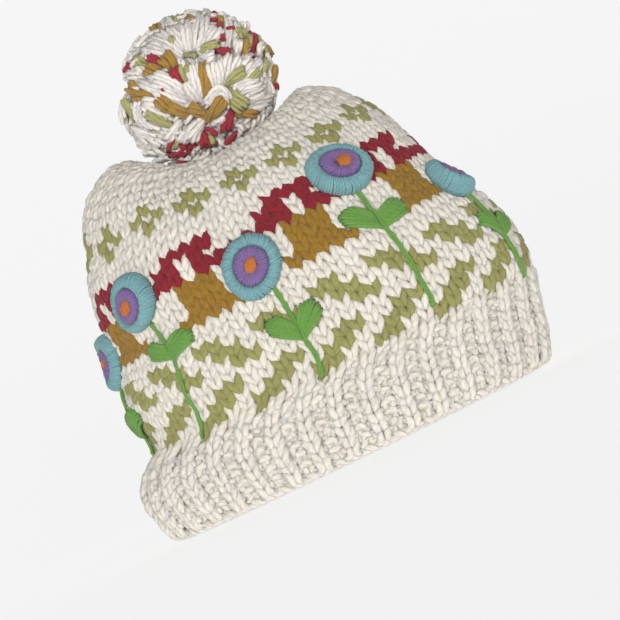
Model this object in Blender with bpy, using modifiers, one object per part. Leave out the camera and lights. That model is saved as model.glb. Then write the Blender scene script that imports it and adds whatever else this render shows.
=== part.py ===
"""Pom-pom wool hat, standing on its brim. Metres, +Z up, front towards -Y, near side towards -X.

The hat is a 1x1 ribbed brim, a knitted crown drawn together at the top, a yarn pompom on its tie,
and nine flowers stitched round the crown, each on a stem with two leaves.
"""

import math
import random
from collections import namedtuple

import bmesh
import bpy
import numpy as np
from mathutils import Vector

MM = 0.001

# Knitted wall. A column is one stitch, and the phase lines the ribs up with the knitted pattern.
COLUMNS = 72
COLUMN_PHASE = -0.5
WALL = 5.0 * MM
RIB_DEPTH = 2.4 * MM
SEAM_GAP = 0.4
OUTLINE_POWER = 2.15
GATHERS = 18
GATHER_DEPTH = 1.8 * MM
GATHER_START_ROW = 15
GATHER_FULL_ROW = 18
GATHER_AT_HOLE = 0.3

# Each row is one level outline of the outer face: its height at the sides, front and back, how far
# it reaches from the brim's middle to front and back, and half its width. All in millimetres.
Section = namedtuple("Section", "side_z front_z back_z front back half_width")
BRIM_SECTIONS = [
    Section(0.0, 0.0, 0.0, 103.4, 103.4, 73.0),
    Section(7.0, 7.0, 7.0, 108.0, 106.5, 75.5),
    Section(16.0, 16.0, 16.0, 111.5, 110.0, 77.0),
    Section(27.0, 28.0, 27.0, 114.5, 111.7, 78.0),
    Section(38.0, 39.0, 38.0, 117.2, 106.5, 78.3),
    Section(47.0, 50.0, 48.0, 120.2, 96.5, 78.0),
]
BRIM_TOP = BRIM_SECTIONS[-1]
CROWN_SECTIONS = [
    BRIM_TOP._replace(
        side_z=BRIM_TOP.side_z + SEAM_GAP,
        front_z=BRIM_TOP.front_z + SEAM_GAP,
        back_z=BRIM_TOP.back_z + SEAM_GAP,
    ),
    Section(55.0, 59.0, 55.0, 121.3, 96.0, 78.6),
    Section(66.0, 71.0, 67.0, 120.6, 98.8, 79.0),
    Section(84.0, 89.0, 84.0, 115.0, 96.3, 79.0),
    Section(104.0, 109.0, 102.0, 103.8, 92.2, 78.4),
    Section(123.0, 129.0, 121.0, 95.3, 92.8, 76.4),
    Section(137.0, 145.0, 138.0, 89.0, 90.0, 73.0),
    Section(149.0, 158.0, 151.0, 82.5, 84.5, 68.0),
    Section(158.5, 170.0, 166.0, 73.0, 80.0, 61.0),
    Section(165.0, 179.0, 180.0, 62.5, 70.0, 53.0),
    Section(168.5, 183.2, 189.3, 51.0, 52.0, 44.0),
    Section(168.4, 180.5, 186.5, 42.0, 40.0, 35.0),
    Section(168.1, 171.5, 173.0, 30.0, 26.0, 24.0),
    Section(167.9, 168.0, 168.0, 18.0, 11.0, 13.0),
    Section(167.8, 167.8, 167.8, 10.5, 2.5, 6.5),
]
SECTIONS = BRIM_SECTIONS + CROWN_SECTIONS
CROWN_START = len(BRIM_SECTIONS)
CREST_ROW = 16
TOP_ROW = len(SECTIONS) - 1

# The inner face needs fewer rings than the outer one
INNER_BRIM_ROWS = [5, 3, 2, 0]
INNER_CROWN_ROWS = [20, 19, 18, 16, 15, 13, 11, 9, 8, 6]

# Flowers, numbered from the front round the near side to the back. A turn is a share of the way
# round in that direction, and a height is taken at the hat's side, in millimetres. A flower's lower
# or front edge may stand off the crown by a share more than its middle. Leaf angles are from upright.
Flower = namedtuple("Flower", "head_turn head_z size lower_lift front_lift stem_turns joint_z leaf_angles")
StemTurns = namedtuple("StemTurns", "foot joint top")
LeafAngles = namedtuple("LeafAngles", "front back")
FLOWERS = [
    Flower(0.062, 105.0, 0.90, 0.45, -0.40, StemTurns(0.062, 0.0655, 0.063), 66.5, LeafAngles(57, 30)),
    Flower(0.152, 130.5, 1.00, 0.45, -0.10, StemTurns(0.1665, 0.162, 0.1565), 97.5, LeafAngles(72, 46)),
    Flower(0.275, 107.5, 1.00, 0.00, 0.00, StemTurns(0.2715, 0.2705, 0.271), 66.5, LeafAngles(44, 45)),
    Flower(0.387, 118.3, 0.93, 0.00, 0.40, StemTurns(0.387, 0.3775, 0.386), 86.0, LeafAngles(62, 58)),
    Flower(0.490, 99.5, 1.00, 0.00, 0.00, StemTurns(0.478, 0.480, 0.489), 57.5, LeafAngles(47, 47)),
    Flower(0.602, 104.0, 0.97, 0.00, 0.00, StemTurns(0.598, 0.600, 0.602), 68.0, LeafAngles(47, 50)),
    Flower(0.715, 125.0, 1.00, 0.20, 0.00, StemTurns(0.719, 0.716, 0.715), 90.5, LeafAngles(50, 55)),
    Flower(0.830, 106.0, 0.96, 0.00, 0.00, StemTurns(0.836, 0.834, 0.830), 67.5, LeafAngles(48, 44)),
    Flower(0.935, 122.0, 0.95, 0.20, 0.00, StemTurns(0.938, 0.936, 0.934), 87.0, LeafAngles(55, 48)),
]
FOOT_Z = 49.0
SEAT_GAP = 0.4 * MM

# Ring and eye profiles run from the seat's outer edge over the top to its inner edge, in millimetres.
Profile = namedtuple("Profile", "radius lift")
OUTER_RING = [Profile(15.6, 0.0), Profile(16.3, 3.2), Profile(14.4, 6.6), Profile(11.2, 7.2),
              Profile(9.6, 4.4), Profile(9.6, 0.0)]
INNER_RING = [Profile(9.2, 0.0), Profile(9.2, 4.8), Profile(6.7, 7.8), Profile(3.7, 6.2),
              Profile(3.7, 0.0)]
EYE = [Profile(3.3, 0.0), Profile(3.3, 6.8), Profile(2.0, 8.6)]
OUTER_RING_SIDES = 16
INNER_RING_SIDES = 12
EYE_SIDES = 8

# Stem and leaves, as satin-stitched pads on the crown, in millimetres
STEM_SEAT = 0.35
STEM_HALF_WIDTH = 1.8
STEM_LIFT = 2.4
STEM_CLEARANCE = 1.0
LEAF_SEAT = 0.8
LeafStation = namedtuple("LeafStation", "along half_width lift")
LEAF = [LeafStation(-1.0, 1.4, 1.4), LeafStation(4.5, 3.2, 2.6), LeafStation(9.5, 4.8, 3.0),
        LeafStation(15.0, 5.0, 2.6), LeafStation(18.5, 3.4, 1.6)]
LEAF_SHAPE = [(-1.0, 0.0), (-0.55, 1.0), (0.55, 1.0), (1.0, 0.0)]

# Pompom: bundles of yarn ends bursting from a tied core
POMPOM_CENTRE = Vector((0.0, -4.0 * MM, 206.0 * MM))
POMPOM_SIZE = Vector((42.5 * MM, 42.5 * MM, 38.0 * MM))
POMPOM_SEED = 7
CORE_SHARE = 0.62
CORE_CUTS = 2
LOCK_TAPER = 0.24
LOCK_SHOULDER = 0.92
LOCK_END = 1.03
LOCK_VARIATION = 0.04
LOCK_LEAN = 0.06
POMPOM_FOOT = 168.4 * MM

# Tie: a stem through the gathered hole with a knot inside the crown, top to bottom
TIE_CENTRE = Vector((0.0, -4.0 * MM, 0.0))
TIE_CHAMFER = 0.4 * MM
TIE_SIDES = 12
TIE_STEM_RADIUS = 6.0 * MM
TIE_KNOT_RADIUS = 10.0 * MM
TIE_TOP = 168.1 * MM
TIE_STEM_FOOT = 161.0 * MM
TIE_FOOT = 157.0 * MM

Finish = namedtuple("Finish", "colour roughness")
FINISHES = {
    "cream_wool": Finish((0.80, 0.76, 0.68), 0.92),
    "aqua_yarn": Finish((0.19, 0.52, 0.52), 0.85),
    "purple_yarn": Finish((0.20, 0.10, 0.34), 0.85),
    "orange_yarn": Finish((0.68, 0.21, 0.03), 0.85),
    "green_yarn": Finish((0.14, 0.40, 0.08), 0.80),
    "tie_yarn": Finish((0.74, 0.70, 0.62), 0.92),
}


def clear_scene():
    """Remove every object of the opened scene."""
    for thing in list(bpy.data.objects):
        bpy.data.objects.remove(thing, do_unlink=True)


def new_collection(name, helper=False):
    """A collection under the scene; one for helpers is left out of renders."""
    collection = bpy.data.collections.new(name)
    collection.hide_render = helper
    bpy.context.scene.collection.children.link(collection)
    return collection


def material(name):
    """The Principled material of one yarn, made once."""
    found = bpy.data.materials.get(name)
    if found:
        return found
    finish = FINISHES[name]
    made = bpy.data.materials.new(name)
    made.use_nodes = True
    shader = made.node_tree.nodes["Principled BSDF"]
    shader.inputs["Base Color"].default_value = (*finish.colour, 1.0)
    shader.inputs["Roughness"].default_value = finish.roughness
    shader.inputs["Metallic"].default_value = 0.0
    made.diffuse_color = (*finish.colour, 1.0)
    return made


def section_points(section, angle):
    """Points of one outline, in metres: angle 0 is the front, a quarter turn the near side."""
    across = np.sin(angle)
    along = np.cos(angle)
    power = 2.0 / OUTLINE_POWER
    middle = (section.back - section.front) / 2
    half_length = (section.back + section.front) / 2
    end_z = np.where(along > 0, section.front_z, section.back_z)
    x = -section.half_width * np.sign(across) * np.abs(across) ** power
    y = middle - half_length * np.sign(along) * np.abs(along) ** power
    z = section.side_z + (end_z - section.side_z) * along ** 2
    return np.stack([x, y, z], axis=-1) * MM


def even_turns(section, samples=720):
    """The angle at each share of an outline's length, so that stitches are evenly spaced round it."""
    angle = np.linspace(0.0, 2 * math.pi, samples + 1)
    steps = np.linalg.norm(np.diff(section_points(section, angle), axis=0), axis=1)
    length = np.concatenate([[0.0], np.cumsum(steps)])
    return length / length[-1], angle


EVEN_TURNS = [even_turns(section) for section in SECTIONS]


def row_point(row, turn):
    """The point of one section's outline at a share of its length."""
    share, angle = EVEN_TURNS[row]
    return Vector(section_points(SECTIONS[row], np.interp(turn % 1.0, share, angle)))


def hat_point(turn, row):
    """The outer face at a share round and a row, which may lie between two sections."""
    low = min(int(row), TOP_ROW - 1)
    return row_point(low, turn).lerp(row_point(low + 1, turn), row - low)


def hat_normal(turn, row):
    """The outward direction of the outer face."""
    lowest = 0 if row < CROWN_START else CROWN_START
    below = hat_point(turn, max(row - 0.6, lowest))
    above = hat_point(turn, min(row + 0.6, TOP_ROW))
    round_step = hat_point(turn + 0.01, row) - hat_point(turn - 0.01, row)
    return (above - below).cross(round_step).normalized()


def level_normal(turn, row):
    """The outward direction, kept level so that an edge of the wall is flat."""
    normal = hat_normal(turn, row)
    normal.z = 0.0
    return normal.normalized()


def row_at_height(height):
    """The crown row, as a number with a fraction, at a height on the hat's side in millimetres."""
    heights = [section.side_z for section in SECTIONS[CROWN_START : CREST_ROW + 1]]
    return CROWN_START + float(np.interp(height, heights, range(len(heights))))


def add_object(name, mesh, collection, finish=None):
    """Put a mesh in the scene as a named object with its own material."""
    made = bpy.data.objects.new(name, mesh)
    if finish:
        mesh.materials.append(material(finish))
    collection.objects.link(made)
    return made


def loft(name, rings, wrapped=False):
    """A closed skin through rings of equal count, capped at both ends or joined end to start."""
    work = bmesh.new()
    loops = [[work.verts.new(point) for point in ring] for ring in rings]
    pairs = list(zip(loops, loops[1:]))
    if wrapped:
        pairs.append((loops[-1], loops[0]))
    else:
        work.faces.new(loops[0])
        work.faces.new(loops[-1])
    count = len(loops[0])
    for lower, upper in pairs:
        for i in range(count):
            after = (i + 1) % count
            work.faces.new((lower[i], lower[after], upper[after], upper[i]))
    bmesh.ops.recalc_face_normals(work, faces=work.faces)
    mesh = bpy.data.meshes.new(name)
    work.to_mesh(mesh)
    work.free()
    mesh.shade_smooth()
    mesh.set_sharp_from_angle(angle=math.radians(50))
    return mesh


def relief(row, column):
    """How far a column stands out of the smooth wall: brim ribs, then folds drawn in at the top."""
    if row < CROWN_START:
        return RIB_DEPTH / 2 if column % 2 else -RIB_DEPTH / 2
    fade = (row - GATHER_START_ROW) / (GATHER_FULL_ROW - GATHER_START_ROW)
    fade = min(max(fade, 0.0), 1.0) if row < TOP_ROW else GATHER_AT_HOLE
    return fade * GATHER_DEPTH * (math.cos(2 * math.pi * column * GATHERS / COLUMNS) - 1) / 2


def wall_ring(row, depth):
    """One ring of the knitted wall: the outer face at depth 0, the inner face at the wall's depth."""
    flat_edge = row in (0, CROWN_START - 1, CROWN_START)
    points = []
    for column in range(COLUMNS):
        turn = (column + COLUMN_PHASE) / COLUMNS
        across = level_normal(turn, row) if flat_edge else hat_normal(turn, row)
        points.append(hat_point(turn, row) + across * (relief(row, column) - depth))
    return points


def knitted_wall(name, outer_rows, inner_rows, collection):
    """A stretch of the hat's wall: up the outer face, over, and down the inner face."""
    rings = [wall_ring(row, 0.0) for row in outer_rows]
    rings += [wall_ring(row, WALL) for row in inner_rows]
    return add_object(name, loft(name, rings, wrapped=True), collection, "cream_wool")


def crown_frame(turn, row):
    """How much a metre round the crown and a metre up it move the turn and the row."""
    round_rate = (hat_point(turn + 0.01, row) - hat_point(turn - 0.01, row)).length / 0.02
    up_rate = (hat_point(turn, row + 0.5) - hat_point(turn, row - 0.5)).length
    return 1.0 / round_rate, 1.0 / up_rate


def seated(turn, row, forward, up, lift):
    """A point lifted off the crown, some millimetres to the front of and above a place on it."""
    per_turn, per_row = crown_frame(turn, row)
    there_turn = turn - forward * MM * per_turn
    there_row = max(row + up * MM * per_row, CROWN_START)
    out = hat_normal(there_turn, there_row)
    return hat_point(there_turn, there_row) + out * (lift * MM + SEAT_GAP)


def flower_ring(name, flower, profile, sides, finish, collection, wrapped=True):
    """A turned ring or eye of a flower, bent onto the crown where the flower sits."""
    row = row_at_height(flower.head_z)
    edge = OUTER_RING[1].radius
    rings = []
    for radius, lift in profile:
        ring = []
        for i in range(sides):
            angle = 2 * math.pi * i / sides
            forward = radius * math.cos(angle)
            up = radius * math.sin(angle)
            tip = 1 + (flower.front_lift * forward - flower.lower_lift * up) / edge
            place = (forward * flower.size, up * flower.size)
            ring.append(seated(flower.head_turn, row, *place, lift * tip))
        rings.append(ring)
    return add_object(name, loft(name, rings, wrapped), collection, finish)


def stem_rows(flower):
    """The rows that a stem passes, from its foot above the brim to just below the flower."""
    head_row = row_at_height(flower.head_z)
    per_row = crown_frame(flower.head_turn, head_row)[1]
    foot_row = row_at_height(FOOT_Z)
    reach = OUTER_RING[1].radius * flower.size + STEM_CLEARANCE
    top_row = head_row - reach * MM * per_row
    between = range(math.ceil(foot_row), math.ceil(top_row))
    return [foot_row, *between, top_row]


def stem_turn(flower, row):
    """Where round the hat the stem is at a row, on its way from foot to joint to flower."""
    rows = stem_rows(flower)
    return float(np.interp(row, [rows[0], row_at_height(flower.joint_z), rows[-1]], flower.stem_turns))


def stem_mesh(name, flower):
    """The stem, a low rounded band of stitches from the brim's seam up to the flower's edge."""
    half = STEM_HALF_WIDTH
    shape = [(-half, STEM_SEAT), (-half * 0.75, STEM_LIFT * 0.7), (0.0, STEM_LIFT),
             (half * 0.75, STEM_LIFT * 0.7), (half, STEM_SEAT)]
    rings = []
    for row in stem_rows(flower):
        turn = stem_turn(flower, row)
        rings.append([seated(turn, row, forward, 0.0, lift) for forward, lift in shape])
    return loft(name, rings)


def leaf_mesh(name, flower, side, angle):
    """One leaf, a fan of long stitches rising from the stem to the front or to the back."""
    row = row_at_height(flower.joint_z)
    turn = stem_turn(flower, row)
    along = Vector((side * math.sin(angle), math.cos(angle)))
    across = Vector((-along.y, along.x))
    rings = []
    for station in LEAF:
        middle = along * station.along
        ring = []
        for width, lift in LEAF_SHAPE:
            place = middle + across * (width * station.half_width)
            ring.append(seated(turn, row, place.x, place.y, LEAF_SEAT + lift * station.lift))
        rings.append(ring)
    return loft(name, rings)


def union(target, helper):
    """Fuse a hidden helper into an object."""
    helper.hide_render = True
    helper.display_type = "WIRE"
    fuse = target.modifiers.new("union_" + helper.name, "BOOLEAN")
    fuse.operation = "UNION"
    fuse.solver = "EXACT"
    fuse.use_self = True
    fuse.object = helper


def flower(number, place, parts, helpers):
    """One flower: outer ring, inner ring and eye, over a stem with two leaves."""
    name = f"flower_{number}"
    flower_ring(name + "_outer_ring", place, OUTER_RING, OUTER_RING_SIDES, "aqua_yarn", parts)
    flower_ring(name + "_inner_ring", place, INNER_RING, INNER_RING_SIDES, "purple_yarn", parts)
    flower_ring(name + "_eye", place, EYE, EYE_SIDES, "orange_yarn", parts, wrapped=False)
    stem_name = name + "_stem_and_leaves"
    stem = add_object(stem_name, stem_mesh(stem_name, place), parts, "green_yarn")
    for label, side in (("front", 1), ("back", -1)):
        leaf_name = f"{name}_leaf_{label}"
        angle = math.radians(getattr(place.leaf_angles, label))
        union(stem, add_object(leaf_name, leaf_mesh(leaf_name, place, side, angle), helpers))


def core_faces(work):
    """The core's outline as even rounded cells, one for each bundle of yarn ends."""
    ball = bmesh.new()
    bmesh.ops.create_icosphere(ball, subdivisions=1, radius=1.0)
    bmesh.ops.subdivide_edges(ball, edges=ball.edges, cuts=CORE_CUTS, use_grid_fill=True)
    bmesh.ops.triangulate(ball, faces=ball.faces)
    for vertex in ball.verts:
        vertex.co.normalize()
    corner = {face: work.verts.new(face.calc_center_median().normalized()) for face in ball.faces}
    cells = []
    for vertex in ball.verts:
        side = vertex.co.orthogonal()
        other = vertex.co.cross(side)
        ring = sorted(
            (corner[face] for face in vertex.link_faces),
            key=lambda v: math.atan2((v.co - vertex.co).dot(other), (v.co - vertex.co).dot(side)),
        )
        cells.append((vertex.co.copy(), ring))
    ball.free()
    return cells


def pompom(parts):
    """The pompom: bundles of yarn ends that grow out of one core and part from each other."""
    chance = random.Random(POMPOM_SEED)
    work = bmesh.new()
    for direction, ring in core_faces(work):
        reach = (1 + chance.uniform(-LOCK_VARIATION, LOCK_VARIATION)) / CORE_SHARE
        lean = Vector(chance.uniform(-LOCK_LEAN, LOCK_LEAN) for _ in range(3))
        shoulders = [v.co.lerp(direction, LOCK_TAPER) * LOCK_SHOULDER + lean for v in ring]
        tip = [work.verts.new(shoulder * reach) for shoulder in shoulders]
        end = work.verts.new((direction * LOCK_END + lean) * reach)
        for i in range(len(ring)):
            after = (i + 1) % len(ring)
            work.faces.new((ring[i], ring[after], tip[after], tip[i]))
            work.faces.new((tip[i], tip[after], end))
    bmesh.ops.recalc_face_normals(work, faces=work.faces)
    for vertex in work.verts:
        scaled = (a * b for a, b in zip(vertex.co * CORE_SHARE, POMPOM_SIZE))
        vertex.co = Vector(scaled) + POMPOM_CENTRE
        vertex.co.z = max(vertex.co.z, POMPOM_FOOT)
    mesh = bpy.data.meshes.new("pompom")
    work.to_mesh(mesh)
    work.free()
    return add_object("pompom", mesh, parts, "cream_wool")


def tie(parts):
    """The pompom's tie, turned from its profile."""
    outline = [
        (0.0, TIE_TOP),
        (TIE_STEM_RADIUS, TIE_TOP),
        (TIE_STEM_RADIUS, TIE_STEM_FOOT),
        (TIE_KNOT_RADIUS, TIE_STEM_FOOT - TIE_CHAMFER),
        (TIE_KNOT_RADIUS, TIE_FOOT + TIE_CHAMFER),
        (TIE_STEM_RADIUS, TIE_FOOT),
        (0.0, TIE_FOOT),
    ]
    mesh = bpy.data.meshes.new("pompom_tie")
    edges = [(i, i + 1) for i in range(len(outline) - 1)]
    mesh.from_pydata([(x, 0.0, z) for x, z in outline], edges, [])
    made = add_object("pompom_tie", mesh, parts, "tie_yarn")
    made.location = TIE_CENTRE
    turn = made.modifiers.new("turned", "SCREW")
    turn.axis = "Z"
    turn.steps = TIE_SIDES
    turn.render_steps = TIE_SIDES
    turn.use_merge_vertices = True
    turn.merge_threshold = 0.00001
    return made


def stand_on_origin(parts, helpers):
    """Parent all to an empty that puts the middle of the parts' box over the origin."""
    bpy.context.view_layer.update()
    corners = []
    graph = bpy.context.evaluated_depsgraph_get()
    for thing in parts.objects:
        seen = thing.evaluated_get(graph)
        corners += [seen.matrix_world @ Vector(corner) for corner in seen.bound_box]
    middle = [(min(c[i] for c in corners) + max(c[i] for c in corners)) / 2 for i in range(2)]
    hat = bpy.data.objects.new("hat", None)
    for thing in [*parts.objects, *helpers.objects]:
        thing.parent = hat
    parts.objects.link(hat)
    hat.location = (-middle[0], -middle[1], 0.0)


def main():
    clear_scene()
    parts = new_collection("pompom_hat")
    helpers = new_collection("helpers", helper=True)
    knitted_wall("brim", range(CROWN_START), INNER_BRIM_ROWS, parts)
    knitted_wall("crown", range(CROWN_START, TOP_ROW + 1), INNER_CROWN_ROWS, parts)
    for number, place in enumerate(FLOWERS, start=1):
        flower(number, place, parts, helpers)
    pompom(parts)
    tie(parts)
    stand_on_origin(parts, helpers)


main()
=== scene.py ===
"""Knitted look of the pom-pom wool hat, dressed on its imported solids. Metres, +Z up, front to -Y.

Every stitch is a swept loop of yarn laid on the hat's outline, coloured by a stitch chart. The
pompom is bent yarn ends, and the flowers are stitched from single threads.
"""

import math
from collections import namedtuple
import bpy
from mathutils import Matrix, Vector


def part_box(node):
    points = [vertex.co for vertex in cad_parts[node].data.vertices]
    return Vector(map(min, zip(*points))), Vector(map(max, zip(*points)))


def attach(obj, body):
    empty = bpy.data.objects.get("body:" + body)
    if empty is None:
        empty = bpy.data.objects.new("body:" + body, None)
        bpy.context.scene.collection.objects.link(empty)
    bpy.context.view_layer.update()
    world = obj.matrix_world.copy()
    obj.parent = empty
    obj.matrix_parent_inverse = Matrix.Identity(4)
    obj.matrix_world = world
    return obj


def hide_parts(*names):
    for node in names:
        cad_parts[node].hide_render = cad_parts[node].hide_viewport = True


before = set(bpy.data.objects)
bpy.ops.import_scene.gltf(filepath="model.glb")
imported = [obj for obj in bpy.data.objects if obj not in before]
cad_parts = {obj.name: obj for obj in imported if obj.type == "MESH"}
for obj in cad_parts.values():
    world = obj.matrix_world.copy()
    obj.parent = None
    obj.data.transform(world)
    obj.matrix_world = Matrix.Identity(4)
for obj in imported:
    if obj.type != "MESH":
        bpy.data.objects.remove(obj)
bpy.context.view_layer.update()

from types import SimpleNamespace as Sizes

import bpy
import numpy as np
from mathutils import Matrix, Vector

MM = 0.001
TURN = 2 * math.pi

# The fabric's outer face, section by section as in the solids, in millimetres: its height at the side, the
# front and the back, then its reach to the front, to the back and to each side
SECTIONS = [
    (0.0, 0.0, 0.0, 103.4, 103.4, 73.0),
    (7.0, 7.0, 7.0, 108.0, 106.5, 75.5),
    (16.0, 16.0, 16.0, 111.5, 110.0, 77.0),
    (27.0, 28.0, 27.0, 114.5, 111.7, 78.0),
    (38.0, 39.0, 38.0, 117.2, 106.5, 78.3),
    (47.2, 50.2, 48.2, 120.2, 96.2, 78.0),
    (55.0, 59.0, 55.0, 121.3, 96.0, 78.6),
    (66.0, 71.0, 67.0, 120.6, 98.8, 79.0),
    (84.0, 89.0, 84.0, 115.0, 96.3, 79.0),
    (104.0, 109.0, 102.0, 103.8, 92.2, 78.4),
    (123.0, 129.0, 121.0, 95.3, 92.8, 76.4),
    (137.0, 145.0, 138.0, 89.0, 90.0, 73.0),
    (149.0, 158.0, 151.0, 82.5, 84.5, 68.0),
    (158.5, 170.0, 166.0, 73.0, 80.0, 61.0),
    (165.0, 179.0, 180.0, 62.5, 70.0, 53.0),
    (168.5, 183.2, 189.3, 51.0, 52.0, 44.0),
    (168.4, 180.5, 186.5, 42.0, 40.0, 35.0),
    (168.1, 171.5, 173.0, 30.0, 26.0, 24.0),
    (167.9, 168.0, 168.0, 18.0, 11.0, 13.0),
    (167.8, 167.8, 167.8, 10.5, 2.5, 6.5),
]
# How square the outline is, and the number of the section at its crest
OUTLINE_POWER = 2.15
CREST = 15
# How far the tie stands to the front of the sections' middle, in millimetres
TIE_FORWARD = 4.0

# Stitches, with heights and widths in millimetres. The upper row's height spaces the chart's rows.
REPEATS = 9
REPEAT = 8
COLUMNS = REPEATS * REPEAT
CHART_START = 20 / COLUMNS
RIB_ROWS = 8
RIB_TOP = 43.2
RIB_PITCH = 5.2
FIRST_ROW_Z = 48.2
UPPER_ROW = 15
UPPER_ROW_Z = 129.3
NARROWEST_STITCH = 7.4
TOP_MARGIN = 0.3

# One letter a stitch, from the lowest row up. A comma is a cream stitch that lies low among coloured ones.
CHART = [
    "oo..oo..",
    ".oo..oo.",
    "..oo..oo",
    "........",
    "oo..oo..",
    "o..oo..o",
    "..oo..oo",
    "........",
    "........",
    "..mmmmm.",
    "...mmm..",
    "...mmm..",
    "...mmm..",
    "bbbb.bbb",
    "..bb.b,.",
    "...bbbb.",
    "........",
    "........",
    "..o...o.",
    ".o,o.o,o",
    "..o...o.",
]
YARNS = {".": "cream", ",": "cream", "o": "olive", "m": "mustard", "b": "burgundy"}
SUNK = ","

# How far some rows ride up over the front quarter, in millimetres, and where round the hat
ROW_LIFT_AT = [0, 3, 6, 9, 12, 15, 18, 20]
ROW_LIFTS = [1.5, 2.5, 3.0, 4.6, 3.4, 4.4, 1.0, 0.0]
LIFTED = Sizes(start=0.32, full=0.215, end=-0.05)

# Where the fabric is pulled out of true, how far to the front and up, and how far round and up the pull
# reaches, in millimetres
PULLS = [
    (0.410, 148.0, 1.2, -1.3, 13.0, 11.0),
    (0.354, 148.0, 2.9, 3.8, 15.0, 14.0),
    (0.299, 148.0, 2.4, 0.5, 15.0, 12.0),
    (0.243, 148.0, 1.6, 0.8, 15.0, 12.0),
    (0.212, 124.0, 3.4, 1.4, 22.0, 13.0),
]

# A loop of yarn, as shares of the stitch's width and of the row's height, but its depth in millimetres
LOOP_POINTS = 14
LOOP_SIDES = 7
LOOP = Sizes(overrun=0.03, waist=0.235, rise=0.90, pinch=0.14, yarn=0.272, depth=1.35)
COLOURED_SIZE = 1.07
YARN_RADIUS = 2.1
FABRIC_MIDDLE = -3.1
RIB = Sizes(waist=0.17, purl_rise=0.64, purl_depth=0.55, relief=0.9)
LOW_STITCH = Sizes(size=0.82, depth=1.1)
# How unevenly the loops are knitted by hand: shares of the stitch, then millimetres for the lift and the
# tilt, then shares of the yarn's radius
UNEVEN = Sizes(waist=0.022, lean=0.05, across=0.025, rise=0.05, up=0.05, slant=0.06, lift=0.18, tilt=0.2,
               radius=0.05, swell=0.05)
# The fabric's slow waves: height in millimetres, how many go round, how fast they change up it, and start
WAVES = [(0.35, 5, 0.045, 0.0), (0.3, 11, -0.08, 1.3), (0.25, 17, 0.13, 0.4)]
# Folds drawn in under the pompom, in millimetres, from one outline section to another
GATHERS = Sizes(count=18, depth=1.4, first_section=14, full_section=17)
# The two twisted strands of the cast-on edge, in millimetres, with twists and points for each stitch
CAST_ON = Sizes(along=2.5, lift=-2.6, radius=1.6, reach_up=0.9, reach_out=1.0, twists=0.75, points=12)
# The back of the fabric: how far in its two faces lie and how far they stop short, in millimetres
BACKING = Sizes(outer=-3.9, inner=-4.9, foot=1.0, top=0.5, rows=70, columns=180)

# Where each flower's head and its stem's foot, joint and top are, by turn and by height in millimetres
Flower = namedtuple("Flower", "head_turn head_z size lower_lift front_lift foot_turn joint_turn top_turn "
                    "joint_z foot_z front_lean back_lean")
FLOWERS = [
    Flower(0.062, 105.0, 0.9, 0.45, -0.6, 0.062, 0.0655, 0.063, 66.5, 44.5, 57, 30),
    Flower(0.152, 130.5, 1.0, 0.45, -0.1, 0.1665, 0.162, 0.1565, 97.5, 52.5, 72, 46),
    Flower(0.275, 107.5, 1.0, 0.0, 0.0, 0.2715, 0.2705, 0.271, 66.5, 45.5, 44, 45),
    Flower(0.387, 118.3, 0.93, 0.0, 0.4, 0.387, 0.3775, 0.386, 86.0, 44.5, 62, 58),
    Flower(0.49, 99.5, 1.0, 0.0, -0.4, 0.476, 0.476, 0.488, 57.5, 46.0, 47, 47),
    Flower(0.602, 104.0, 0.97, 0.0, 0.0, 0.598, 0.6, 0.602, 68.0, 45.0, 47, 50),
    Flower(0.715, 125.0, 1.0, 0.2, 0.0, 0.719, 0.716, 0.715, 90.5, 50.0, 50, 55),
    Flower(0.83, 106.0, 0.96, 0.0, 0.0, 0.836, 0.834, 0.83, 67.5, 45.5, 48, 44),
    Flower(0.935, 122.0, 0.95, 0.2, 0.5, 0.938, 0.936, 0.934, 87.0, 48.0, 55, 48),
]
# Each flower's hand-made shape: nudges and drifts in millimetres, and the rest as shares
Trim = namedtuple("Trim", "nudge_front nudge_up wide tall slant drift_front drift_up eye_front eye_up "
                  "eye_size leaf_size")
TRIMS = [
    Trim(0.6, -3.0, 0.88, 0.8, 0.0, 0.0, 0.8, 0.0, 0.0, 0.95, 0.82),
    Trim(-1.9, -0.4, 1.02, 0.84, -0.06, 1.1, 1.7, 1.6, -0.4, 1.2, 1.0),
    Trim(0.0, 0.0, 0.96, 0.97, 0.32, 0.0, 0.0, 0.0, 0.2, 1.1, 1.0),
    Trim(-1.7, 0.5, 1.0, 0.9, 0.24, -0.5, -0.5, -0.5, -0.4, 1.3, 0.86),
    Trim(0.0, 0.0, 1.0, 1.0, 0.1, 0.5, 0.0, 0.0, 0.0, 1.15, 0.9),
    Trim(0.0, 0.0, 0.98, 0.95, -0.12, 0.3, 0.5, 0.3, 0.0, 1.1, 1.0),
    Trim(0.0, 0.0, 1.0, 0.92, 0.1, -0.6, 0.8, -0.4, 0.2, 1.2, 0.95),
    Trim(0.0, 0.0, 0.95, 1.0, -0.16, 0.0, 0.4, 0.5, 0.0, 1.05, 1.0),
    Trim(1.8, -0.5, 0.94, 0.94, 0.08, 0.6, 0.4, 0.0, 0.3, 1.15, 0.9),
]
FLOWER_EDGE = 16.3

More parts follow.
